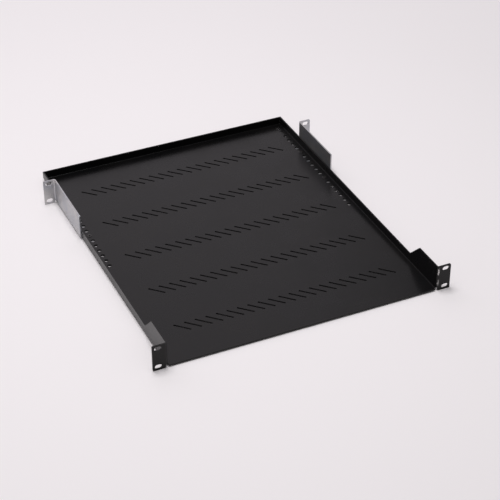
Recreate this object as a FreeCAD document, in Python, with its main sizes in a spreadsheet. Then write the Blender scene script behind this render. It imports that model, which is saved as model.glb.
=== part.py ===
"""Vented one-unit rack tray with two rear support brackets.

The tray is one folded steel sheet: a slotted floor, two side flanges that rise into tall
front cheeks, an ear folded out of each cheek, and a low lip along the back.  Each zinc
plated rear bracket is a second folded sheet: its leg lies under the floor, its side plate
stands outside the flange, and its ear bolts to the rear post.  Two short screws hold each
leg through the row of adjusting holes in the floor.

Frame: X to the right, Y to the back, Z up, in millimetres.  The origin is the centre of
the four front ear slots, in the plane where the ears meet the front posts.
"""
import FreeCAD, Part
import math
import os

import Sketcher

DOCUMENT = "VentedRackTray"

# Driving dimensions: alias, value in millimetres (or degrees or a count), meaning.
SIZES = (
    ("gauge", 2.0, "tray sheet thickness"),
    ("bend_inside", 1.0, "inside radius of the tray's folds"),
    ("tray_depth", 550.0, "front edge of the floor to the back of the lip"),
    ("flange_height", 15.0, "side flanges and back lip, from under the floor"),
    ("cheek_depth", 54.0, "full-height part of the cheek, behind the front posts"),
    ("ramp_depth", 27.0, "run of the slope from the cheek down to the flange"),
    ("ramp_foot_radius", 6.0, "rounding where the slope meets the flange"),
    ("ramp_top_radius", 2.0, "rounding at the top of the slope"),
    ("relief", 0.5, "clearance cut beside a fold that ends at another"),
    ("corner_gap", 0.3, "gap between the back lip and each side flange"),
    ("ear_height", 43.7, "one rack unit panel height"),
    ("ear_span", 482.6, "over the outer edges of both ears"),
    ("ear_reach", 21.3, "each ear, out from the side flange's outer face"),
    ("ear_corner_radius", 2.0, "rounding of the ears' outer corners"),
    ("slot_margin", 8.75, "ear slot's centre, in from the ear's outer edge"),
    ("slot_rise", 31.75, "between the lower and upper ear slots"),
    ("slot_width", 7.0, "ear slot, across"),
    ("slot_length", 11.0, "ear slot, end to end"),
    ("vent_width", 3.0, "vent slot, across"),
    ("vent_length", 28.0, "vent slot, end to end"),
    ("vent_lean", 45.0, "vent slot, turned from the Y axis, degrees"),
    ("vent_columns", 21, "vent slots in a row"),
    ("vent_rows", 5, "rows of vent slots"),
    ("vent_border", 50.0, "end vent slots' centres, in from the side flanges"),
    ("row_border", 75.0, "end rows' centres, in from the front and the back"),
    ("vent_shift_x", 4.0, "vent field's middle, to the right of the floor's middle"),
    ("vent_shift_y", -2.0, "vent field's middle, behind the floor's middle"),
    ("hole_diameter", 7.0, "adjusting holes in the floor"),
    ("hole_inset", 12.0, "adjusting holes, in from the flange's outer face"),
    ("hole_pitch", 15.0, "between adjusting holes"),
    ("hole_count", 19, "adjusting holes on each side"),
    ("bracket_gauge", 2.0, "bracket sheet thickness"),
    ("bracket_bend", 2.0, "inside radius of the bracket's folds"),
    ("side_gap", 0.3, "between the flange and the bracket's side plate"),
    ("rear_overhang", 73.0, "tray beyond the rear posts"),
    ("plate_length", 120.0, "bracket side plate, ahead of the rear post"),
    ("plate_corner_radius", 1.5, "rounding of the side plate's front corner"),
    ("leg_width", 28.0, "bracket leg, in from the side plate's inner face"),
    ("leg_length", 130.0, "bracket leg, along the floor"),
    ("leg_setback", 10.0, "leg's rear end ahead of the rear post"),
    ("front_screw_step", 12, "front screw's hole, counted from the back"),
    ("rear_screw_step", 6, "rear screw's hole, counted from the back"),
    ("thread_diameter", 4.0, "tapped hole in the leg"),
    ("thread_play", 0.1, "screw shank inside the tapped hole, radial"),
    ("head_diameter", 8.0, "screw head, M4 countersunk"),
    ("socket_flats", 2.5, "hexagon socket, across flats"),
    ("socket_depth", 1.4, "hexagon socket"),
)

doc = FreeCAD.newDocument(DOCUMENT)
sheet = doc.addObject("Spreadsheet::Sheet", "Sizes")
for row, (alias, number, meaning) in enumerate(SIZES, start=1):
    sheet.set(f"A{row}", meaning)
    sheet.set(f"B{row}", str(number))
    sheet.setAlias(f"B{row}", alias)
doc.recompute()

# Places that several pieces share, as expressions on the sheet.
HALF_SPAN = "(Sizes.ear_span / 2)"
HALF_WIDTH = f"({HALF_SPAN} - Sizes.ear_reach)"
HALF_EAR = "Sizes.ear_height / 2"
FRONT = "(-Sizes.gauge)"
BACK = f"({FRONT} + Sizes.tray_depth)"
UNDER = f"(Sizes.bracket_gauge - {HALF_EAR})"
FLOOR = f"({UNDER} + Sizes.gauge)"
BEND_OUTSIDE = "(Sizes.bend_inside + Sizes.gauge)"
RIM = f"({UNDER} + Sizes.flange_height)"
HOLE_X = f"({HALF_WIDTH} - Sizes.hole_inset)"
LAST_HOLE_Y = f"({BACK} - Sizes.hole_pitch)"
PLATE_IN = f"({HALF_WIDTH} + Sizes.side_gap)"
PLATE_OUT = f"({PLATE_IN} + Sizes.bracket_gauge)"
BRACKET_BEND_OUTSIDE = "(Sizes.bracket_bend + Sizes.bracket_gauge)"
LEG_BOTTOM = f"({UNDER} - Sizes.bracket_gauge)"
POST = f"({BACK} - Sizes.rear_overhang)"
LEG_BACK = f"({POST} - Sizes.leg_setback)"
# A head's cone leans 45 degrees and rests on the rim of its hole, so its rim stands proud.
HEAD_RISE = "((Sizes.head_diameter - Sizes.hole_diameter) / 2)"

SIDES = {-1: "left", 1: "right"}
SCREW_STEPS = {"front": "Sizes.front_screw_step", "rear": "Sizes.rear_screw_step"}
# Where a vent slot's corners lie, as signs of its half length and half width.
SLOT_CORNERS = ((1, 1), (1, -1), (-1, -1), (-1, 1))
# Where the corners of a hexagon lie, in degrees round its centre.
HEXAGON_TURNS = range(0, 360, 60)
# How far a cutting outline runs past the sheet that it cuts, in millimetres.
OVERCUT = 5
# Two places closer than this are the same place, in millimetres.
TOLERANCE = 1e-4


def value(expression):
    """The number that an expression on the sheet has now."""
    return float(sheet.evalExpression(expression))


def new_sketch(body, role, name, at="0"):
    """A sketch parallel to one of the body's origin planes, `at` along that plane's world axis."""
    sketch = body.newObject("Sketcher::SketchObject", name)
    plane = next(f for f in body.Origin.OriginFeatures if f.Role == role)
    sketch.AttachmentSupport = [(plane, "")]
    sketch.MapMode = "FlatFace"
    # The XZ plane's own normal points to the front, against the Y axis.
    normal_sign = "-" if role == "XZ_Plane" else ""
    sketch.setExpression("AttachmentOffset.Base.z", f"{normal_sign}({at})")
    return sketch


def pin_point(sketch, geometry, point, across, up):
    """Fixes one point of the sketch at two expressions, measured from its origin."""
    for kind, expression in (("DistanceX", across), ("DistanceY", up)):
        constraint = Sketcher.Constraint(kind, -1, 1, geometry, point, value(expression))
        index = sketch.addConstraint(constraint)
        sketch.setExpression(f"Constraints[{index}]", expression)


def set_radius(sketch, geometry, expression):
    """Drives the radius of an arc or circle by an expression."""
    index = sketch.addConstraint(Sketcher.Constraint("Radius", geometry, value(expression)))
    sketch.setExpression(f"Constraints[{index}]", expression)


def arc_geometry(start, end, radius, left):
    """The short arc from start to end, with its centre on the left or right of the way."""
    chord = end - start
    middle = (start + end) / 2
    square = radius ** 2 - (chord.Length / 2) ** 2
    offset = math.sqrt(max(square, 0.0))
    side = FreeCAD.Vector(-chord.y, chord.x, 0).normalize()
    centre = middle + side * (offset if left else -offset)
    first, last = (start, end) if left else (end, start)
    angles = [math.atan2(p.y - centre.y, p.x - centre.x) for p in (first, last)]
    if angles[1] < angles[0]:
        angles[1] += 2 * math.pi
    circle = Part.Circle(centre, FreeCAD.Vector(0, 0, 1), radius)
    return Part.ArcOfCircle(circle, angles[0], angles[1])


def add_outline(sketch, corners):
    """A closed outline through corners (across, up, fold).

    fold is None where a straight line leads to the next corner, or (radius, "left" or
    "right") where an arc does, with its centre on that side of the way round.
    """
    points = [FreeCAD.Vector(value(c[0]), value(c[1]), 0) for c in corners]
    ends = []
    for number, (_, _, fold) in enumerate(corners):
        start = points[number]
        end = points[(number + 1) % len(points)]
        if fold is None:
            geometry = sketch.addGeometry(Part.LineSegment(start, end), False)
            ends.append((geometry, 1, 2))
            continue
        left = fold[1] == "left"
        geometry = sketch.addGeometry(arc_geometry(start, end, value(fold[0]), left), False)
        ends.append((geometry, 1, 2) if left else (geometry, 2, 1))
    for number, (geometry, first, _) in enumerate(ends):
        before, _, last = ends[number - 1]
        sketch.addConstraint(Sketcher.Constraint("Coincident", before, last, geometry, first))
        pin_point(sketch, geometry, first, corners[number][0], corners[number][1])
    for (geometry, _, _), (_, _, fold) in zip(ends, corners):
        if fold is not None:
            set_radius(sketch, geometry, fold[0])


def add_rectangle(sketch, left, right, low, high):
    """A rectangle whose four sides lie at expressions."""
    corners = ((left, low), (right, low), (right, high), (left, high))
    add_outline(sketch, [(across, up, None) for across, up in corners])


def add_slot(sketch, first, second, radius):
    """A slot with round ends: first and second are its end centres, as expressions."""
    centres = [FreeCAD.Vector(value(c[0]), value(c[1]), 0) for c in (first, second)]
    size = value(radius)
    along = (centres[1] - centres[0]).normalize()
    turn = math.atan2(along.y, along.x)
    across = FreeCAD.Vector(-along.y, along.x, 0) * size
    up = FreeCAD.Vector(0, 0, 1)
    half = math.pi / 2
    near = Part.ArcOfCircle(Part.Circle(centres[0], up, size), turn + half, turn + 3 * half)
    far = Part.ArcOfCircle(Part.Circle(centres[1], up, size), turn - half, turn + half)
    lower = Part.LineSegment(centres[0] - across, centres[1] - across)
    upper = Part.LineSegment(centres[1] + across, centres[0] + across)
    near, lower, far, upper = (sketch.addGeometry(g, False) for g in (near, lower, far, upper))
    for one, one_end, other, other_end in (
        (near, 2, lower, 1),
        (lower, 2, far, 1),
        (far, 2, upper, 1),
        (upper, 2, near, 1),
    ):
        tangent = Sketcher.Constraint("Tangent", one, one_end, other, other_end)
        sketch.addConstraint(tangent)
    sketch.addConstraint(Sketcher.Constraint("Equal", near, far))
    pin_point(sketch, near, 3, *first)
    pin_point(sketch, far, 3, *second)
    set_radius(sketch, near, radius)


def add_circle(sketch, across, up, radius):
    """A circle whose centre and radius are expressions."""
    centre = FreeCAD.Vector(value(across), value(up), 0)
    circle = Part.Circle(centre, FreeCAD.Vector(0, 0, 1), value(radius))
    geometry = sketch.addGeometry(circle, False)
    pin_point(sketch, geometry, 3, across, up)
    set_radius(sketch, geometry, radius)


def faces_front(sketch):
    """True for a sketch on the XZ plane, whose normal points against the Y axis."""
    return sketch.AttachmentSupport[0][0].Role == "XZ_Plane"


def pad(body, sketch, name, length, side_type="One side"):
    """Pads a sketch along its world axis, or half each way where side_type is Symmetric."""
    feature = body.newObject("PartDesign::Pad", name)
    feature.Profile = sketch
    feature.SideType = side_type
    feature.Reversed = faces_front(sketch)
    feature.setExpression("Length", length)
    doc.recompute()
    return feature


def cut(body, sketch, name, depth=None):
    """Cuts a sketch `depth` along its world axis, or right through both ways without one."""
    before = body.Shape.Volume
    feature = body.newObject("PartDesign::Pocket", name)
    feature.Profile = sketch
    if depth is None:
        feature.SideType = "Symmetric"
        feature.Type = "ThroughAll"
    else:
        feature.Reversed = not faces_front(sketch)
        feature.setExpression("Length", depth)
    doc.recompute()
    if body.Shape.Volume >= before:
        raise RuntimeError(f"{name} removes nothing from {body.Label}")
    return feature


def repeat(body, feature, name, across, up=None):
    """Repeats a cut along its sketch's two axes; each way is (length, occurrences)."""
    before = body.Shape.Volume
    pattern = body.newObject("PartDesign::LinearPattern", name)
    pattern.Originals = [feature]
    sketch = feature.Profile[0]
    pattern.Direction = (sketch, ["H_Axis"])
    pattern.Direction2 = (sketch, ["V_Axis"])
    for suffix, way in (("", across), ("2", up)):
        if way is None:
            setattr(pattern, f"Occurrences{suffix}", 1)
            continue
        pattern.setExpression(f"Length{suffix}", way[0])
        pattern.setExpression(f"Occurrences{suffix}", way[1])
    body.Tip = pattern
    doc.recompute()
    if body.Shape.Volume >= before:
        raise RuntimeError(f"{name} repeats nothing")
    return pattern


def round_edges(body, name, radius, wanted):
    """Fillets the straight edges that the test `wanted` picks by their two end points."""
    base = body.Tip
    names = []
    for number, edge in enumerate(base.Shape.Edges, start=1):
        if edge.Curve.TypeId != "Part::GeomLine":
            continue
        if wanted(edge.Vertexes[0].Point, edge.Vertexes[-1].Point):
            names.append(f"Edge{number}")
    if not names:
        raise RuntimeError(f"{name} finds no edge")
    feature = body.newObject("PartDesign::Fillet", name)
    feature.Base = (base, names)
    feature.setExpression("Radius", radius)
    doc.recompute()
    return feature


def mirrored(side, corners):
    """The outline itself on the right, side 1, or its mirror image on the left, side -1."""
    if side > 0:
        return corners
    swap = {"left": "right", "right": "left"}
    flipped = []
    for across, up, fold in corners:
        turned = None if fold is None else (fold[0], swap[fold[1]])
        flipped.append((f"-({across})", up, turned))
    return flipped


def on_side(side, expression):
    """An X place on the right, side 1, or the same place on the left, side -1."""
    return expression if side > 0 else f"-({expression})"


def add_ear_slots(sketch, side):
    """The upper and lower oval slots of one ear."""
    reach = "(Sizes.slot_length - Sizes.slot_width) / 2"
    for level in ("Sizes.slot_rise / 2", "-Sizes.slot_rise / 2"):
        ends = [on_side(side, f"{HALF_SPAN} - Sizes.slot_margin {sign} {reach}") for sign in "-+"]
        add_slot(sketch, (ends[0], level), (ends[1], level), "Sizes.slot_width / 2")


def is_ear_corner(start, end):
    """True for an edge through the sheet at the outer corner of an ear."""
    outer = abs(abs(start.x) - value(HALF_SPAN)) < TOLERANCE
    corner = abs(abs(start.z) - value(HALF_EAR)) < TOLERANCE
    return outer and corner and runs_along(start, end, "y")


def runs_along(start, end, axis):
    """True for an edge that is parallel to the named axis."""
    step = end - start
    return all(abs(getattr(step, other)) < TOLERANCE for other in "xyz" if other != axis)


def lies_at(point, y, z):
    """True where a point has the Y and Z of two expressions."""
    return abs(point.y - value(y)) < TOLERANCE and abs(point.z - value(z)) < TOLERANCE


def vent_corners(centre_x, centre_y):
    """The outline of one vent slot, turned by its lean."""
    lean = "Sizes.vent_lean * 1 deg"
    corners = []
    for end, flank in SLOT_CORNERS:
        along = f"({end} * Sizes.vent_length / 2)"
        aside = f"({flank} * Sizes.vent_width / 2)"
        corners.append((
            f"{centre_x} - {along} * sin({lean}) + {aside} * cos({lean})",
            f"{centre_y} + {along} * cos({lean}) + {aside} * sin({lean})",
            None,
        ))
    return corners


def build_tray():
    """The tray: one sheet with floor, flanges, cheeks, ears, back lip, vents and holes."""
    body = doc.addObject("PartDesign::Body", "tray")
    body.Label = "tray"

    section = new_sketch(body, "XZ_Plane", "tray_section", FRONT)
    bend_x = f"({HALF_WIDTH} - {BEND_OUTSIDE})"
    bend_z = f"({UNDER} + {BEND_OUTSIDE})"
    inner_x = f"({HALF_WIDTH} - Sizes.gauge)"
    right = [
        (bend_x, UNDER, (BEND_OUTSIDE, "left")),
        (HALF_WIDTH, bend_z, None),
        (HALF_WIDTH, HALF_EAR, None),
        (inner_x, HALF_EAR, None),
        (inner_x, bend_z, ("Sizes.bend_inside", "right")),
    ]
    left = [
        (f"-{bend_x}", FLOOR, ("Sizes.bend_inside", "right")),
        (f"-{inner_x}", bend_z, None),
        (f"-{inner_x}", HALF_EAR, None),
        (f"-{HALF_WIDTH}", HALF_EAR, None),
        (f"-{HALF_WIDTH}", bend_z, (BEND_OUTSIDE, "left")),
    ]
    add_outline(section, right + [(bend_x, FLOOR, None)] + left + [(f"-{bend_x}", UNDER, None)])
    pad(body, section, "folded_section", "Sizes.tray_depth")

    foot_y = "(Sizes.cheek_depth + Sizes.ramp_depth)"
    trim = new_sketch(body, "YZ_Plane", "flange_trim")
    add_outline(trim, [
        ("Sizes.cheek_depth", HALF_EAR, None),
        (foot_y, RIM, None),
        (f"{BACK} + {OVERCUT}", RIM, None),
        (f"{BACK} + {OVERCUT}", f"{HALF_EAR} + {OVERCUT}", None),
        ("Sizes.cheek_depth", f"{HALF_EAR} + {OVERCUT}", None),
    ])
    cut(body, trim, "flange_profile")
    round_edges(body, "ramp_foot", "Sizes.ramp_foot_radius", lambda start, end:
                runs_along(start, end, "x") and lies_at(start, foot_y, RIM))
    round_edges(body, "ramp_top", "Sizes.ramp_top_radius", lambda start, end:
                runs_along(start, end, "x") and lies_at(start, "Sizes.cheek_depth", HALF_EAR))

    # The back lip takes the place of the last of the floor.
    lip_y = f"({BACK} - {BEND_OUTSIDE})"
    strip = new_sketch(body, "XY_Plane", "floor_end", UNDER)
    add_rectangle(strip, f"-{HALF_WIDTH} - {OVERCUT}", f"{HALF_WIDTH} + {OVERCUT}",
                  lip_y, f"{BACK} + {OVERCUT}")
    cut(body, strip, "floor_end_cut", BEND_OUTSIDE)
    lip = new_sketch(body, "YZ_Plane", "lip_section")
    add_outline(lip, [
        (lip_y, UNDER, (BEND_OUTSIDE, "left")),
        (BACK, bend_z, None),
        (BACK, RIM, None),
        (f"{BACK} - Sizes.gauge", RIM, None),
        (f"{BACK} - Sizes.gauge", bend_z, ("Sizes.bend_inside", "right")),
        (lip_y, FLOOR, None),
    ])
    pad(body, lip, "back_lip", f"2 * ({inner_x} - Sizes.corner_gap)", "Symmetric")
    relief_x = f"({bend_x} - Sizes.relief)"
    corners = new_sketch(body, "XY_Plane", "back_relief", f"{UNDER} - {OVERCUT}")
    for side in SIDES:
        add_outline(corners, mirrored(side, [
            (relief_x, f"{lip_y} - Sizes.relief", None),
            (f"{HALF_WIDTH} + {OVERCUT}", f"{lip_y} - Sizes.relief", None),
            (f"{HALF_WIDTH} + {OVERCUT}", f"{BACK} + {OVERCUT}", None),
            (relief_x, f"{BACK} + {OVERCUT}", None),
        ]))
    cut(body, corners, "back_relief_cut", f"{OVERCUT} + {BEND_OUTSIDE}")

    # Each ear folds out of the front of its cheek.
    clearing = new_sketch(body, "YZ_Plane", "cheek_front")
    add_rectangle(clearing, f"{FRONT} - {OVERCUT}", "Sizes.bend_inside",
                  bend_z, f"{HALF_EAR} + {OVERCUT}")
    cut(body, clearing, "cheek_front_cut")
    ears = new_sketch(body, "XY_Plane", "ear_section")
    fold_x = f"({HALF_WIDTH} + Sizes.bend_inside)"
    for side in SIDES:
        add_outline(ears, mirrored(side, [
            (HALF_WIDTH, "Sizes.bend_inside", ("Sizes.bend_inside", "left")),
            (fold_x, "0", None),
            (HALF_SPAN, "0", None),
            (HALF_SPAN, FRONT, None),
            (fold_x, FRONT, (BEND_OUTSIDE, "right")),
            (inner_x, "Sizes.bend_inside", None),
        ]))
    pad(body, ears, "ears", "Sizes.ear_height", "Symmetric")
    notch = new_sketch(body, "XY_Plane", "front_relief", f"-{HALF_EAR} - {OVERCUT}")
    for side in SIDES:
        add_outline(notch, mirrored(side, [
            (relief_x, f"{FRONT} - {OVERCUT}", None),
            (fold_x, f"{FRONT} - {OVERCUT}", None),
            (fold_x, "Sizes.bend_inside + Sizes.relief", None),
            (relief_x, "Sizes.bend_inside + Sizes.relief", None),
        ]))
    cut(body, notch, "front_relief_cut",
        f"{OVERCUT} + {HALF_EAR} + {bend_z} + Sizes.relief")
    round_edges(body, "ear_corners", "Sizes.ear_corner_radius", is_ear_corner)
    slots = new_sketch(body, "XZ_Plane", "ear_slots")
    for side in SIDES:
        add_ear_slots(slots, side)
    cut(body, slots, "ear_slot_cut")

    # One adjusting hole on each side, and then the row.
    holes = new_sketch(body, "XY_Plane", "side_hole")
    first_hole_y = f"{LAST_HOLE_Y} - (Sizes.hole_count - 1) * Sizes.hole_pitch"
    for side in SIDES:
        add_circle(holes, on_side(side, HOLE_X), first_hole_y, "Sizes.hole_diameter / 2")
    row = cut(body, holes, "side_hole_cut")
    repeat(body, row, "side_hole_rows", None,
           ("(Sizes.hole_count - 1) * Sizes.hole_pitch", "Sizes.hole_count"))

    # One slanted vent slot, and then the whole field of them.
    vent = new_sketch(body, "XY_Plane", "vent_slot")
    half_row = f"({HALF_WIDTH} - Sizes.vent_border)"
    first_row = f"({FRONT} + Sizes.row_border + Sizes.vent_shift_y)"
    add_outline(vent, vent_corners(f"(Sizes.vent_shift_x - {half_row})", first_row))
    slot = cut(body, vent, "vent_slot_cut")
    repeat(body, slot, "vent_field", (f"2 * {half_row}", "Sizes.vent_columns"),
           ("Sizes.tray_depth - 2 * Sizes.row_border", "Sizes.vent_rows"))
    return body


def build_bracket(side, name):
    """A rear bracket: leg under the floor, side plate outside the flange, ear outwards."""
    body = doc.addObject("PartDesign::Body", name)
    body.Label = name
    bend_x = f"({PLATE_IN} - Sizes.bracket_bend)"
    bend_z = f"({UNDER} + Sizes.bracket_bend)"
    bend_y = f"({POST} - Sizes.bracket_bend)"
    leg_x = f"({PLATE_IN} - Sizes.leg_width)"
    leg_front = f"({LEG_BACK} - Sizes.leg_length)"
    plate_front = f"({POST} - Sizes.plate_length)"

    section = new_sketch(body, "XZ_Plane", f"{name}_section", leg_front)
    add_outline(section, mirrored(side, [
        (leg_x, LEG_BOTTOM, None),
        (bend_x, LEG_BOTTOM, (BRACKET_BEND_OUTSIDE, "left")),
        (PLATE_OUT, bend_z, None),
        (PLATE_OUT, HALF_EAR, None),
        (PLATE_IN, HALF_EAR, None),
        (PLATE_IN, bend_z, ("Sizes.bracket_bend", "right")),
        (bend_x, UNDER, None),
        (leg_x, UNDER, None),
    ]))
    pad(body, section, f"{name}_folded", f"{bend_y} - {leg_front}")

    # The leg runs on past the front of the side plate as a flat tongue.
    tongue = new_sketch(body, "XY_Plane", f"{name}_tongue")
    add_outline(tongue, mirrored(side, [
        (bend_x, f"{leg_front} - {OVERCUT}", None),
        (f"{PLATE_OUT} + {OVERCUT}", f"{leg_front} - {OVERCUT}", None),
        (f"{PLATE_OUT} + {OVERCUT}", plate_front, None),
        (bend_x, plate_front, None),
    ]))
    cut(body, tongue, f"{name}_tongue_cut")
    round_edges(body, f"{name}_plate_corner", "Sizes.plate_corner_radius", lambda start, end:
                runs_along(start, end, "x") and lies_at(start, plate_front, HALF_EAR))

    ear = new_sketch(body, "XY_Plane", f"{name}_ear")
    fold_x = f"({PLATE_OUT} + Sizes.bracket_bend)"
    ear_back = f"{POST} + Sizes.bracket_gauge"
    add_outline(ear, mirrored(side, [
        (PLATE_IN, bend_y, (BRACKET_BEND_OUTSIDE, "right")),
        (fold_x, ear_back, None),
        (HALF_SPAN, ear_back, None),
        (HALF_SPAN, POST, None),
        (fold_x, POST, ("Sizes.bracket_bend", "left")),
        (PLATE_OUT, bend_y, None),
    ]))
    pad(body, ear, f"{name}_ear_pad", "Sizes.ear_height", "Symmetric")
    notch = new_sketch(body, "XY_Plane", f"{name}_relief", f"-{HALF_EAR} - {OVERCUT}")
    add_outline(notch, mirrored(side, [
        (f"{leg_x} - {OVERCUT}", LEG_BACK, None),
        (fold_x, LEG_BACK, None),
        (fold_x, f"{ear_back} + {OVERCUT}", None),
        (f"{leg_x} - {OVERCUT}", f"{ear_back} + {OVERCUT}", None),
    ]))
    cut(body, notch, f"{name}_relief_cut", f"{OVERCUT} + {HALF_EAR} + {bend_z}")
    round_edges(body, f"{name}_ear_corners", "Sizes.ear_corner_radius", is_ear_corner)
    slots = new_sketch(body, "XZ_Plane", f"{name}_slots")
    add_ear_slots(slots, side)
    cut(body, slots, f"{name}_slot_cut")

    taps = new_sketch(body, "XY_Plane", f"{name}_taps")
    for step in SCREW_STEPS.values():
        add_circle(taps, on_side(side, HOLE_X), screw_y(step), "Sizes.thread_diameter / 2")
    cut(body, taps, f"{name}_tap_cut")
    return body


def screw_y(step):
    """Where along the floor a screw stands, counted in holes from the back."""
    return f"({LAST_HOLE_Y} - {step} * Sizes.hole_pitch)"


def build_screw(side, step, name):
    """A countersunk socket screw, from the rim of a floor hole to the leg's underside."""
    body = doc.addObject("PartDesign::Body", name)
    body.Label = name
    head = "Sizes.head_diameter / 2"
    shank = "(Sizes.thread_diameter / 2 - Sizes.thread_play)"
    grip = "(Sizes.gauge + Sizes.bracket_gauge)"
    neck = f"({HEAD_RISE} - ({head} - {shank}))"
    profile = new_sketch(body, "XZ_Plane", f"{name}_profile")
    add_outline(profile, [
        ("0", f"-{grip}", None),
        (shank, f"-{grip}", None),
        (shank, neck, None),
        (head, HEAD_RISE, None),
        ("0", HEAD_RISE, None),
    ])
    turned = body.newObject("PartDesign::Revolution", f"{name}_turned")
    turned.Profile = profile
    turned.ReferenceAxis = (profile, ["V_Axis"])
    turned.Angle = 360.0
    doc.recompute()

    socket = new_sketch(body, "XY_Plane", f"{name}_socket",
                        f"{HEAD_RISE} - Sizes.socket_depth")
    # A hexagon's corners lie farther out than its flats.
    point = "(Sizes.socket_flats / 2 / cos(30 deg))"
    add_outline(socket, [
        (f"{point} * cos({turn} deg)", f"{point} * sin({turn} deg)", None)
        for turn in HEXAGON_TURNS
    ])
    cut(body, socket, f"{name}_socket_cut", "Sizes.socket_depth")
    body.setExpression("Placement.Base.x", on_side(side, HOLE_X))
    body.setExpression("Placement.Base.y", screw_y(step))
    body.setExpression("Placement.Base.z", FLOOR)
    return body


def check(bodies):
    """Stops with a plain message if any object failed or any piece isn't one sound solid."""
    for item in doc.Objects:
        if {"Invalid", "Error"} & set(item.State):
            raise RuntimeError(f"{item.Name} failed to recompute")
    for body in bodies:
        shape = body.Shape
        if shape.isNull() or not shape.isValid() or len(shape.Solids) != 1:
            raise RuntimeError(f"{body.Label} isn't one valid solid")


pieces = [build_tray()]
for side, word in SIDES.items():
    pieces.append(build_bracket(side, f"rear_bracket_{word}"))
    for place, step in SCREW_STEPS.items():
        pieces.append(build_screw(side, step, f"screw_{word}_{place}"))
doc.recompute()
check(pieces)

os.makedirs("parts", exist_ok=True)
for piece in pieces:
    piece.Shape.exportStep(f"parts/{piece.Label}.step")
    box = piece.Shape.BoundBox
    print(f"{piece.Label}: {piece.Shape.Volume:.1f} mm3, "
          f"x {box.XMin:.2f} {box.XMax:.2f}, y {box.YMin:.2f} {box.YMax:.2f}, "
          f"z {box.ZMin:.2f} {box.ZMax:.2f}")
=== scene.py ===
"""Finishes, corner welds and screws for a vented rack tray with zinc plated rear brackets.

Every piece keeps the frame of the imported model: metres, X right, Y back, Z up.
"""
import math

import bmesh
import bpy
import numpy as np
from mathutils import Matrix, Vector


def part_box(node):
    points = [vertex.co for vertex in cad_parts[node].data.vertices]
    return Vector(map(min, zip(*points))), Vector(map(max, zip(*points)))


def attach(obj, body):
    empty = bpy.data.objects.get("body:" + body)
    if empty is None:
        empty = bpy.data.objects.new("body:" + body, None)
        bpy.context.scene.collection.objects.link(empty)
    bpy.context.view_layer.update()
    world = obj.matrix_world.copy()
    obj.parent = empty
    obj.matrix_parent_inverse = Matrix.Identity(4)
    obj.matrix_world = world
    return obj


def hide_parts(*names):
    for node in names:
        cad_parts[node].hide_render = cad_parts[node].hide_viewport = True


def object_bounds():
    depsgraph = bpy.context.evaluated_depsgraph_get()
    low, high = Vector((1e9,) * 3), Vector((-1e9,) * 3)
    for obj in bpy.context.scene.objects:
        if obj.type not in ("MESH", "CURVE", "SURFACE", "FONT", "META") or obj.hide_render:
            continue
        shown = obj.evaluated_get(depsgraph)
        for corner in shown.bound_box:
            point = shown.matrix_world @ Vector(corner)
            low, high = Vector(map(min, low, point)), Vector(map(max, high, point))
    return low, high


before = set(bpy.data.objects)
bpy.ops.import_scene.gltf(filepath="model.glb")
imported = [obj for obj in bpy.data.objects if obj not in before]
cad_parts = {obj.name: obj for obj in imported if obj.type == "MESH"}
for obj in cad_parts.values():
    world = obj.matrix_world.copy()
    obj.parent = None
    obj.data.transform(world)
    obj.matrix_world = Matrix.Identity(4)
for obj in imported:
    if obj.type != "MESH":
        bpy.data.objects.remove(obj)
CAD_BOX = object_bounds()

bl_info = {
    "name": "Vented rack tray",
    "version": (1, 0, 0),
    "blender": (4, 5, 0),
    "location": "3D View > Sidebar > Rack Tray",
    "description": "Dresses a folded rack tray, its rear brackets and its screws",
    "category": "Add Mesh",
}

MM = 0.001
BODY = "root"
BRACKETS = ("rear_bracket_left", "rear_bracket_right")
SCREWS = ("screw_left_front", "screw_left_rear", "screw_right_front", "screw_right_rear")

# Sockets of the colour Mix node, which share their names with its other kinds.
MIX_SHARE, MIX_FIRST, MIX_SECOND, MIX_RESULT = 0, 6, 7, 2

# Noise stays mostly between the first two, and seldom goes past the second two.
LOWS, HIGHS = 0.35, 0.65
LOWEST, HIGHEST = 0.3, 0.7

# Colours of the finishes that a user has no setting for, and of the stage.
THICK_FILM = 0x0E0D0D
# The pale steel of the line drawn down the right ear's fold in place of the coat.
FOLD_LINE_STEEL = 0xC4C2C0
BLUER_ZINC = 0xB2B4B9
OXIDE = 0x0B0B0C
OILED_OXIDE = 0x17130F
CARD = 0xF8F5F6
FAR_CARD = 0xEEE9EC
ROOM_TINT = 0xFFFCFE
OVERHEAD_TINT = 0xFFFDFE
PANEL_TINT = 0xFEF5FD

# Widths of the lumps in the finishes, in metres.
SPRAY_FAN = 90 * MM
GUN_PASS = 45 * MM
FOLD_LINE_SPECK = 1.2 * MM
ZINC_PATCH = 18 * MM
MILL_GRAIN = 0.8 * MM
OXIDE_STAIN = 1.5 * MM

# Depths of the coat's ripple and of the mill's grain, and how long the grain is drawn.
PEEL_DEPTH = 0.02 * MM
GRAIN_DEPTH = 0.01 * MM
GRAIN_STRENGTH = 0.2
GRAIN_STRETCH = (1.0, 0.03, 1.0)

# How far roughness strays below and above its setting.
COAT_BELOW, COAT_ABOVE = 0.03, 0.04
ZINC_SPREAD = 0.1

# The noise at which the oxide's stains begin, and its roughness beside them and in them.
STAIN_LOW = 0.4
CLEAN_OXIDE, STAINED_OXIDE = 0.3, 0.45

# The ground's roughness, and the index of refraction of the coat and of the oxide.
CARD_ROUGHNESS = 0.9
FILM_IOR = 1.5

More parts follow.
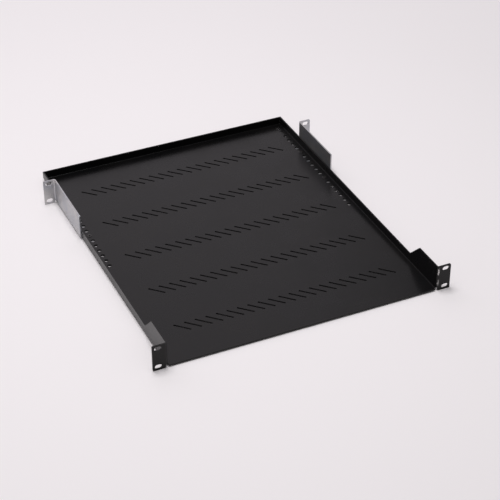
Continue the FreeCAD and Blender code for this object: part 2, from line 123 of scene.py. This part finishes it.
# Where a pale steel line takes the coat's place on the right ear's fold, in millimetres:
# from where to where it lies across, from front to back, and in its two lengths up the
# fold, each with how far in its ends fade. Then how far its edges wander, and the width of
# the noise that moves them.
FOLD_LINE_X, FOLD_LINE_X_SOFT = (219.4, 222.0), 0.4
FOLD_LINE_Y, FOLD_LINE_Y_SOFT = (-3.0, -0.6), 0.5
FOLD_LINE_TOP, FOLD_LINE_TOP_SOFT = (5.5, 18.5), 3.0
FOLD_LINE_FOOT, FOLD_LINE_FOOT_SOFT = (-14.0, -1.0), 4.0
FOLD_LINE_WANDER = 0.9
FOLD_LINE_LUMP = 2.2

# How strongly the lower length of the line shows, then the noise that leaves specks of coat
# in both lengths and how strongly the line shows in those.
FOLD_LINE_FOOT_SHARE = 0.55
SPECK_LOW, SPECK_HIGH, SPECK_SHARE = 0.3, 0.5, 0.5

# The shell that closes a back corner, in millimetres: its middle on the right, then the
# radius and the drop of its outside and of its inside. A weld's number is its side's sign.
CORNER_WELDS = {"corner_weld_left": -1, "corner_weld_right": 1}
CORNER_MIDDLE = (216.4, 544.4, -16.6)
CORNER_OUTSIDE = (3.5, 3.15)
CORNER_INSIDE = (1.5, 1.15)
CORNER_STEPS = 9

# Small sizes of a screw, in millimetres, and the points in a ring of it.
RING_POINTS = 48
DRILL_POINT = 0.25
SOCKET_CHAMFER = 0.15
END_CHAMFER = 0.4
THREAD_PLAY = 0.1
NECK_SOFTNESS = 0.1

# Points nearer than MERGE become one, and folds sharper than SHARP keep their edge.
MERGE = 0.001 * MM
SHARP = math.radians(25)

# The ground, in metres. Past CARD_NEAR the card's own glow takes over from the lamps.
GROUND_GAP = 0.05 * MM
GROUND_HALF = 40.0
CARD_NEAR, CARD_FAR = 0.9, 2.4

# The lamps, in metres, and the place that both face.
OVERHEAD_PLACE, OVERHEAD_SIZE = (-0.3, 0.3, 2.6), (1.6, 1.2)
PANEL_PLACE, PANEL_SIZE = (-0.15, 2.9, 1.9), (4.0, 3.0)
LIT_PLACE = Vector((0.0, 0.25, 0.0))

# The camera: its place in metres, its own right and up, and its lens and sensor in
# millimetres.
CAMERA_PLACE = (-0.83475, -1.64312, 1.38467)
CAMERA_RIGHT = Vector((0.90944413, -0.41580649, -0.00404225))
CAMERA_UP = Vector((0.23898656, 0.51470236, 0.82338746))
CAMERA_LENS = 113.80
CAMERA_SENSOR = 36.0


def linear(hex_colour):
    """An sRGB hex colour, such as 0x202020, as linear red, green, blue and alpha.

    The sRGB curve is a straight foot under a power curve.
    """
    parts = np.array([hex_colour >> 16, hex_colour >> 8, hex_colour]) & 0xFF
    parts = parts / 255.0
    low = parts / 12.92
    high = ((parts + 0.055) / 1.055) ** 2.4
    return tuple(float(v) for v in np.where(parts <= 0.04045, low, high)) + (1.0,)


def add_node(tree, kind, links=(), **settings):
    """Adds a node, sets its named properties or sockets, and links its inputs."""
    node = tree.nodes.new(kind)
    for name, value in settings.items():
        if hasattr(node, name):
            setattr(node, name, value)
        else:
            node.inputs[name.replace("_", " ")].default_value = value
    for name, source in links:
        tree.links.new(source, node.inputs[name])
    return node


def new_material(name):
    """An empty node material, its tree and the Object coordinates that its patterns use."""
    material = bpy.data.materials.new(name)
    material.use_nodes = True
    tree = material.node_tree
    tree.nodes.clear()
    return material, tree, add_node(tree, "ShaderNodeTexCoord").outputs["Object"]


def cloud(tree, place, size, detail=2.0):
    """A soft random pattern from 0 to 1, with lumps of the given size in metres."""
    noise = add_node(tree, "ShaderNodeTexNoise", [("Vector", place)], Scale=1 / size,
                     Detail=detail, Roughness=0.5)
    return noise.outputs["Fac"]


def remap(tree, value, low, high, to_low, to_high):
    """Carries a value from one range to another in a straight line, and clips the ends."""
    turned = add_node(tree, "ShaderNodeMapRange", [("Value", value)], From_Min=low,
                      From_Max=high, To_Min=to_low, To_Max=to_high)
    return turned.outputs["Result"]


def combine(tree, operation, *values):
    """Adds, multiplies or otherwise joins the outputs of nodes, two at a time."""
    result = values[0]
    for value in values[1:]:
        step = add_node(tree, "ShaderNodeMath", [(0, result), (1, value)],
                        operation=operation)
        result = step.outputs[0]
    return result


def blend_colours(tree, share, first, second):
    """Goes from the first colour to the second as the share goes from 0 to 1.

    The first may be a colour or the output of another node.
    """
    mixer = add_node(tree, "ShaderNodeMix", [(MIX_SHARE, share)], data_type="RGBA")
    mixer.inputs[MIX_SECOND].default_value = second
    if isinstance(first, tuple):
        mixer.inputs[MIX_FIRST].default_value = first
    else:
        tree.links.new(first, mixer.inputs[MIX_FIRST])
    return mixer.outputs[MIX_RESULT]


def opaque(colour):
    """A colour setting with its alpha."""
    return tuple(colour) + (1.0,)


def band(tree, value, low, high, soft, level=1.0):
    """The level between two places in millimetres, 0 outside them, with soft ends."""
    rise = remap(tree, value, low * MM, (low + soft) * MM, 0.0, level)
    fall = remap(tree, value, (high - soft) * MM, high * MM, 1.0, 0.0)
    return combine(tree, "MULTIPLY", rise, fall)


def bright_fold_line(tree, place):
    """How much a pale steel line takes the coat's place on the right ear's fold, in a
    bright and a duller length.

    The line's edges wander with a noise that is added to its place.
    """
    parts = add_node(tree, "ShaderNodeSeparateXYZ", [("Vector", place)]).outputs
    wander = remap(tree, cloud(tree, place, FOLD_LINE_LUMP * MM, detail=4.0), LOWS, HIGHS,
                   -FOLD_LINE_WANDER * MM, FOLD_LINE_WANDER * MM)
    across = combine(tree, "ADD", parts["X"], wander)
    up = combine(tree, "ADD", parts["Z"], wander)
    # The pale steel line drawn across the fold, its front to back extent, and its two
    # lengths up the fold.
    line = band(tree, across, *FOLD_LINE_X, FOLD_LINE_X_SOFT)
    front = band(tree, parts["Y"], *FOLD_LINE_Y, FOLD_LINE_Y_SOFT)
    top = band(tree, up, *FOLD_LINE_TOP, FOLD_LINE_TOP_SOFT)
    foot = band(tree, up, *FOLD_LINE_FOOT, FOLD_LINE_FOOT_SOFT, level=FOLD_LINE_FOOT_SHARE)
    lengths = combine(tree, "ADD", top, foot)
    specks = remap(tree, cloud(tree, place, FOLD_LINE_SPECK), SPECK_LOW, SPECK_HIGH,
                   SPECK_SHARE, 1.0)
    return combine(tree, "MULTIPLY", line, front, lengths, specks)


def powder_coated_steel(finish):
    """Black polyester powder coat, sprayed and baked on mild steel.

    A nearly black film under a satin skin: it takes its lightness from what it mirrors. On
    one fold a pale steel line takes the coat's place.
    """
    material, tree, place = new_material("black_powder_coated_steel")
    # A pale metallic steel line drawn down the right ear's fold, in place of the coat.
    fold_line = bright_fold_line(tree, place)

    # The film is a shade browner where it lies thick, in clouds as wide as a spray fan.
    thick = remap(tree, cloud(tree, place, SPRAY_FAN), LOWS, HIGHS, 0.0, 1.0)
    film = blend_colours(tree, thick, opaque(finish.coat_colour), linear(THICK_FILM))
    # Along the fold line the colour goes to pale steel, and below the same share makes it
    # metallic.
    colour = blend_colours(tree, fold_line, film, linear(FOLD_LINE_STEEL))

    # The gloss is patchy: overlapping passes of the gun bake to a slightly different skin.
    skin = remap(tree, cloud(tree, place, GUN_PASS, detail=3.0), LOWEST, HIGHEST,
                 finish.coat_roughness - COAT_BELOW, finish.coat_roughness + COAT_ABOVE)

    # Orange peel, the shallow ripple of a baked powder.
    ripple = cloud(tree, place, finish.peel_size)
    peel = add_node(tree, "ShaderNodeBump", [("Height", ripple)],
                    Strength=finish.peel_strength, Distance=PEEL_DEPTH)
    shader = add_node(tree, "ShaderNodeBsdfPrincipled",
                      [("Normal", peel.outputs["Normal"]), ("Base Color", colour),
                       ("Roughness", skin), ("Metallic", fold_line)],
                      IOR=FILM_IOR, Specular_IOR_Level=finish.coat_gloss)
    add_node(tree, "ShaderNodeOutputMaterial", [("Surface", shader.outputs["BSDF"])])
    return material


def zinc_plated_steel(finish):
    """Bright zinc electroplated on folded mild steel: a soft grey metal shine."""
    material, tree, place = new_material("zinc_plated_steel")

    # Passivation leaves the plating a little bluer in cloudy patches.
    patches = remap(tree, cloud(tree, place, ZINC_PATCH, detail=4.0), LOWS, HIGHS, 0.0, 1.0)
    colour = blend_colours(tree, patches, opaque(finish.zinc_colour), linear(BLUER_ZINC))

    # The rolling mill's grain runs along the bracket in streaks about 25 mm long. Real ones
    # are finer than 0.1 mm and are drawn 0.8 mm wide, so that they show.
    stretched = add_node(tree, "ShaderNodeMapping", [("Vector", place)],
                         Scale=GRAIN_STRETCH).outputs["Vector"]
    grain = cloud(tree, stretched, MILL_GRAIN, detail=3.0)
    skin = remap(tree, grain, LOWEST, HIGHEST, finish.zinc_roughness - ZINC_SPREAD,
                 finish.zinc_roughness + ZINC_SPREAD)
    bump = add_node(tree, "ShaderNodeBump", [("Height", grain)],
                    Strength=GRAIN_STRENGTH, Distance=GRAIN_DEPTH)
    shader = add_node(tree, "ShaderNodeBsdfPrincipled",
                      [("Base Color", colour), ("Roughness", skin),
                       ("Normal", bump.outputs["Normal"])], Metallic=1.0)
    add_node(tree, "ShaderNodeOutputMaterial", [("Surface", shader.outputs["BSDF"])])
    return material


def black_oxide_steel():
    """Black oxide on a steel screw: a dull black that mirrors more than the coat."""
    material, tree, place = new_material("black_oxide_steel")

    # The oxide is brown-black and duller where oil has dried on it.
    stains = remap(tree, cloud(tree, place, OXIDE_STAIN, detail=3.0), STAIN_LOW, HIGHS,
                   0.0, 1.0)
    colour = blend_colours(tree, stains, linear(OXIDE), linear(OILED_OXIDE))
    skin = remap(tree, stains, 0.0, 1.0, CLEAN_OXIDE, STAINED_OXIDE)
    shader = add_node(tree, "ShaderNodeBsdfPrincipled",
                      [("Base Color", colour), ("Roughness", skin)], IOR=FILM_IOR)
    add_node(tree, "ShaderNodeOutputMaterial", [("Surface", shader.outputs["BSDF"])])
    return material


def white_card():
    """Matt white card, that stays as pale far from the lamps as it is beside the tray."""
    material, tree, place = new_material("white_card")
    card = add_node(tree, "ShaderNodeBsdfPrincipled", Base_Color=linear(CARD),
                    Roughness=CARD_ROUGHNESS, Specular_IOR_Level=0.0)
    glow = add_node(tree, "ShaderNodeEmission", Color=linear(FAR_CARD), Strength=1.0)
    away = add_node(tree, "ShaderNodeVectorMath", [(0, place)], operation="LENGTH")
    far = remap(tree, away.outputs["Value"], CARD_NEAR, CARD_FAR, 0.0, 1.0)
    path = add_node(tree, "ShaderNodeLightPath").outputs
    seen = combine(tree, "MAXIMUM", path["Is Camera Ray"], path["Is Glossy Ray"],
                   path["Is Transmission Ray"])
    both = add_node(tree, "ShaderNodeMixShader", [
        ("Fac", combine(tree, "MULTIPLY", far, seen)),
        (1, card.outputs["BSDF"]),
        (2, glow.outputs["Emission"]),
    ])
    add_node(tree, "ShaderNodeOutputMaterial", [("Surface", both.outputs["Shader"])])
    return material


class RackTrayFinish(bpy.types.PropertyGroup):
    """What a user may change about the finishes."""

    coat_colour: bpy.props.FloatVectorProperty(
        name="Coat colour", description="Colour of the powder coat", subtype="COLOR",
        default=linear(0x0A0A0B)[:3], min=0.0, max=1.0)
    coat_roughness: bpy.props.FloatProperty(
        name="Coat roughness", description="How satin the powder coat is",
        subtype="FACTOR", default=0.28, min=0.0, max=1.0)
    coat_gloss: bpy.props.FloatProperty(
        name="Coat gloss", description="How strongly the powder coat mirrors",
        subtype="FACTOR", default=0.25, min=0.0, max=1.0)
    peel_size: bpy.props.FloatProperty(
        name="Orange peel", description="Width of a lump of the coat's ripple",
        unit="LENGTH", default=1.5 * MM, min=0.1 * MM)
    peel_strength: bpy.props.FloatProperty(
        name="Peel strength", description="How strongly the ripple shows",
        subtype="FACTOR", default=0.35, min=0.0, max=1.0)
    zinc_colour: bpy.props.FloatVectorProperty(
        name="Zinc colour", description="Colour of the plating", subtype="COLOR",
        default=linear(0xBFBEBE)[:3], min=0.0, max=1.0)
    zinc_roughness: bpy.props.FloatProperty(
        name="Zinc roughness", description="How dull the plating is",
        subtype="FACTOR", default=0.42, min=0.0, max=1.0)


class RackTrayScrews(bpy.types.PropertyGroup):
    """What a user may change about the bracket screws."""

    socket_flats: bpy.props.FloatProperty(
        name="Socket", description="Size of the hexagon key, across its flats",
        unit="LENGTH", default=2.5 * MM, min=1.0 * MM)
    socket_depth: bpy.props.FloatProperty(
        name="Socket depth", description="How deep the key goes",
        unit="LENGTH", default=1.4 * MM, min=0.5 * MM)
    rim_round: bpy.props.FloatProperty(
        name="Rim", description="How far the head's rim is rounded",
        unit="LENGTH", default=0.15 * MM, min=0.02 * MM)


class RackTrayStudio(bpy.types.PropertyGroup):
    """What a user may change about the lamps. A level of 1 is white."""

    room_level: bpy.props.FloatProperty(
        name="Room light", description="Brightness of the room around", default=0.2,
        min=0.0)
    overhead_level: bpy.props.FloatProperty(
        name="Overhead box", description="Brightness of the soft box above", default=8.0,
        min=0.0)
    panel_level: bpy.props.FloatProperty(
        name="Back panel", description="Brightness of the panel that the floor mirrors",
        default=0.67, min=0.0)


class RACKTRAY_OT_coat_tray(bpy.types.Operator):
    """Give the tray its black powder coat"""

    bl_idname = "rack_tray.coat_tray"
    bl_label = "Coat the tray"

    def execute(self, context):
        paint(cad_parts["tray"], powder_coated_steel(context.scene.rack_tray_finish))
        return {"FINISHED"}


class RACKTRAY_OT_weld_corners(bpy.types.Operator):
    """Close the tray's back corners with welds under the same coat"""

    bl_idname = "rack_tray.weld_corners"
    bl_label = "Weld the back corners"

    def execute(self, context):
        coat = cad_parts["tray"].material_slots[0].material
        for name, side in CORNER_WELDS.items():
            weld = make_corner_weld(name, side, coat)
            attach(weld, BODY)
        return {"FINISHED"}


class RACKTRAY_OT_plate_brackets(bpy.types.Operator):
    """Give the rear brackets their zinc plating"""

    bl_idname = "rack_tray.plate_brackets"
    bl_label = "Plate the rear brackets"

    def execute(self, context):
        zinc = zinc_plated_steel(context.scene.rack_tray_finish)
        for name in BRACKETS:
            paint(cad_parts[name], zinc)
        return {"FINISHED"}


class RACKTRAY_OT_make_screws(bpy.types.Operator):
    """Make the countersunk screws that hold the rear brackets"""

    bl_idname = "rack_tray.make_screws"
    bl_label = "Make the screws"

    def execute(self, context):
        black = black_oxide_steel()
        for name in SCREWS:
            screw = make_screw(name, context.scene.rack_tray_screws, black)
            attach(screw, BODY)
            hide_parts(name)
        return {"FINISHED"}


class RACKTRAY_OT_set_stage(bpy.types.Operator):
    """Lay the ground, hang the lamps and place the camera"""

    bl_idname = "rack_tray.set_stage"
    bl_label = "Set the stage"

    def execute(self, context):
        studio = context.scene.rack_tray_studio
        lay_ground()
        dim_room(studio.room_level)
        hang_box("overhead_box", OVERHEAD_PLACE, OVERHEAD_SIZE, studio.overhead_level,
                 OVERHEAD_TINT)
        hang_box("back_panel", PANEL_PLACE, PANEL_SIZE, studio.panel_level, PANEL_TINT)
        place_camera()
        return {"FINISHED"}


def paint(node, material):
    """Puts a material in every slot of a node."""
    for slot in node.material_slots:
        slot.material = material


def make_screw(name, sizes, material):
    """A countersunk screw with a hexagon socket, in the box of the screw that it replaces.

    Its cone is the same 45 degree cone, which rests on the rim of the hole in the floor,
    and the head's own rim is rounded inside that cone.

    The surface is a profile carried round the axis: each ring has a radius and a height. In
    the socket the ring is a hexagon, whose radius is the apothem over the cosine of the
    angle from the nearest flat's middle.
    """
    low, high = (np.array(corner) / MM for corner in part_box(name))
    middle = (low + high) / 2
    rim, top, end = (high[0] - low[0]) / 2, high[2], low[2]
    apothem = sizes.socket_flats / MM / 2
    floor = top - sizes.socket_depth / MM
    soft = sizes.rim_round / MM
    shank = rim / 2 - THREAD_PLAY
    neck = top - (rim - shank)
    rings = [
        (0.0, floor - DRILL_POINT, False),
        (apothem, floor, True),
        (apothem, top - SOCKET_CHAMFER, True),
        (apothem + 2 * SOCKET_CHAMFER, top, False),
        (rim - 2 * soft, top, False),
        (rim - soft, top - soft / 3, False),
        (rim - soft, top - soft, False),
        (shank + NECK_SOFTNESS, neck + NECK_SOFTNESS, False),
        (shank, neck - NECK_SOFTNESS, False),
        (shank, end + END_CHAMFER, False),
        (shank - END_CHAMFER, end, False),
        (0.0, end, False),
    ]
    radius, height, hexagon = (np.array(column)[:, None] for column in zip(*rings))
    angle = np.arange(RING_POINTS) * (2 * np.pi / RING_POINTS)
    sixth = np.pi / 3
    from_flat = (angle + sixth / 2) % sixth - sixth / 2
    spread = radius * np.where(hexagon, 1 / np.cos(from_flat), 1.0)
    points = np.stack([
        middle[0] + spread * np.cos(angle),
        middle[1] + spread * np.sin(angle),
        np.broadcast_to(height, spread.shape),
    ], axis=-1)
    return add_surface(name + "_fine", points, material)


def make_corner_weld(name, side, material):
    """The weld, ground smooth and coated, that closes a back corner between two folds.

    An eighth of a shell: each point goes round a quarter turn in plan, and its radius and
    its drop are the cosine and the sine of a second quarter turn, out and back.
    """
    turn = np.linspace(0, np.pi / 2, CORNER_STEPS)
    back = turn[::-1]
    (outside, outside_drop), (inside, inside_drop) = CORNER_OUTSIDE, CORNER_INSIDE
    radius = np.concatenate([outside * np.cos(turn), inside * np.cos(back)])
    drop = np.concatenate([outside_drop * np.sin(turn), inside_drop * np.sin(back)])
    points = np.stack([
        side * (CORNER_MIDDLE[0] + np.outer(np.cos(turn), radius)),
        CORNER_MIDDLE[1] + np.outer(np.sin(turn), radius),
        np.tile(CORNER_MIDDLE[2] - drop, (CORNER_STEPS, 1)),
    ], axis=-1)
    return add_surface(name, points, material, has_ends=True)


def add_surface(name, points, material, has_ends=False):
    """A piece over rows of points in millimetres, each row closed round on itself.

    Each point is joined to the next in its row and to the same place in the next row.
    """
    rows, columns = points.shape[:2]
    row, column = np.meshgrid(np.arange(rows - 1), np.arange(columns), indexing="ij")
    after = (column + 1) % columns
    faces = np.stack([
        row * columns + column, (row + 1) * columns + column,
        (row + 1) * columns + after, row * columns + after,
    ], axis=-1).reshape(-1, 4).tolist()
    if has_ends:
        last = (rows - 1) * columns
        faces += [list(range(columns)), list(range(last, last + columns))]
    mesh = bpy.data.meshes.new(name)
    mesh.from_pydata((points.reshape(-1, 3) * MM).tolist(), [], faces)
    form = bmesh.new()
    form.from_mesh(mesh)
    bmesh.ops.remove_doubles(form, verts=form.verts, dist=MERGE)
    bmesh.ops.recalc_face_normals(form, faces=form.faces)
    form.to_mesh(mesh)
    form.free()
    mesh.shade_smooth()
    mesh.set_sharp_from_angle(angle=SHARP)
    return add_piece(mesh, material)


def add_piece(mesh, material):
    """An object for a mesh, at the origin, with its material."""
    mesh.materials.append(material)
    piece = bpy.data.objects.new(mesh.name, mesh)
    bpy.context.collection.objects.link(piece)
    return piece


def lay_ground():
    """A wide sheet of white card just under the object."""
    low = CAD_BOX[0][2] - GROUND_GAP
    mesh = bpy.data.meshes.new("ground")
    signs = ((-1, -1), (1, -1), (1, 1), (-1, 1))
    corners = [(x * GROUND_HALF, y * GROUND_HALF, low) for x, y in signs]
    mesh.from_pydata(corners, [], [(0, 1, 2, 3)])
    add_piece(mesh, white_card())


def dim_room(level):
    """Even light from all round, that keeps the shadows open."""
    world = bpy.data.worlds.new("room")
    bpy.context.scene.world = world
    world.use_nodes = True
    background = world.node_tree.nodes["Background"]
    background.inputs["Color"].default_value = linear(ROOM_TINT)
    background.inputs["Strength"].default_value = level


def hang_box(name, place, size, level, tint):
    """A rectangular soft box of the given brightness, turned to the tray."""
    lamp = bpy.data.lights.new(name, "AREA")
    lamp.shape = "RECTANGLE"
    lamp.size, lamp.size_y = size
    lamp.color = linear(tint)[:3]
    lamp.energy = level * math.pi * size[0] * size[1]
    holder = bpy.data.objects.new(name, lamp)
    bpy.context.collection.objects.link(holder)
    holder.location = place
    away = LIT_PLACE - Vector(place)
    holder.rotation_euler = away.to_track_quat("-Z", "Y").to_euler()


def place_camera():
    """A long lens above and to the left of the front."""
    data = bpy.data.cameras.new("view")
    data.lens = CAMERA_LENS
    data.sensor_width = CAMERA_SENSOR
    camera = bpy.data.objects.new("view", data)
    bpy.context.collection.objects.link(camera)
    turn = Matrix((CAMERA_RIGHT, CAMERA_UP, CAMERA_RIGHT.cross(CAMERA_UP))).transposed()
    camera.matrix_world = Matrix.Translation(CAMERA_PLACE) @ turn.to_4x4()
    bpy.context.scene.camera = camera


class RACKTRAY_PT_sidebar(bpy.types.Panel):
    """The tray's pieces and finishes"""

    bl_idname = "RACKTRAY_PT_sidebar"
    bl_label = "Rack tray"
    bl_space_type = "VIEW_3D"
    bl_region_type = "UI"
    bl_category = "Rack Tray"

    def draw(self, context):
        for setting in SETTINGS:
            group = getattr(context.scene, setting)
            for name in group.__annotations__:
                self.layout.prop(group, name)
        for operator in OPERATORS:
            self.layout.operator(operator.bl_idname)


OPERATORS = (
    RACKTRAY_OT_coat_tray,
    RACKTRAY_OT_weld_corners,
    RACKTRAY_OT_plate_brackets,
    RACKTRAY_OT_make_screws,
    RACKTRAY_OT_set_stage,
)
SETTINGS = {
    "rack_tray_finish": RackTrayFinish,
    "rack_tray_screws": RackTrayScrews,
    "rack_tray_studio": RackTrayStudio,
}
CLASSES = tuple(SETTINGS.values()) + OPERATORS + (RACKTRAY_PT_sidebar,)


def register():
    """Registers the classes and gives the scene its settings."""
    for item in CLASSES:
        bpy.utils.register_class(item)
    for name, group in SETTINGS.items():
        setattr(bpy.types.Scene, name, bpy.props.PointerProperty(type=group))


def unregister():
    """Takes the settings and the classes away again."""
    for name in SETTINGS:
        delattr(bpy.types.Scene, name)
    for item in reversed(CLASSES):
        bpy.utils.unregister_class(item)


def main():
    """Registers the add-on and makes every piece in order."""
    register()
    bpy.context.scene.view_settings.view_transform = "Standard"
    bpy.ops.rack_tray.coat_tray()
    bpy.ops.rack_tray.weld_corners()
    bpy.ops.rack_tray.plate_brackets()
    bpy.ops.rack_tray.make_screws()
    bpy.ops.rack_tray.set_stage()


if __name__ == "__main__":
    main()
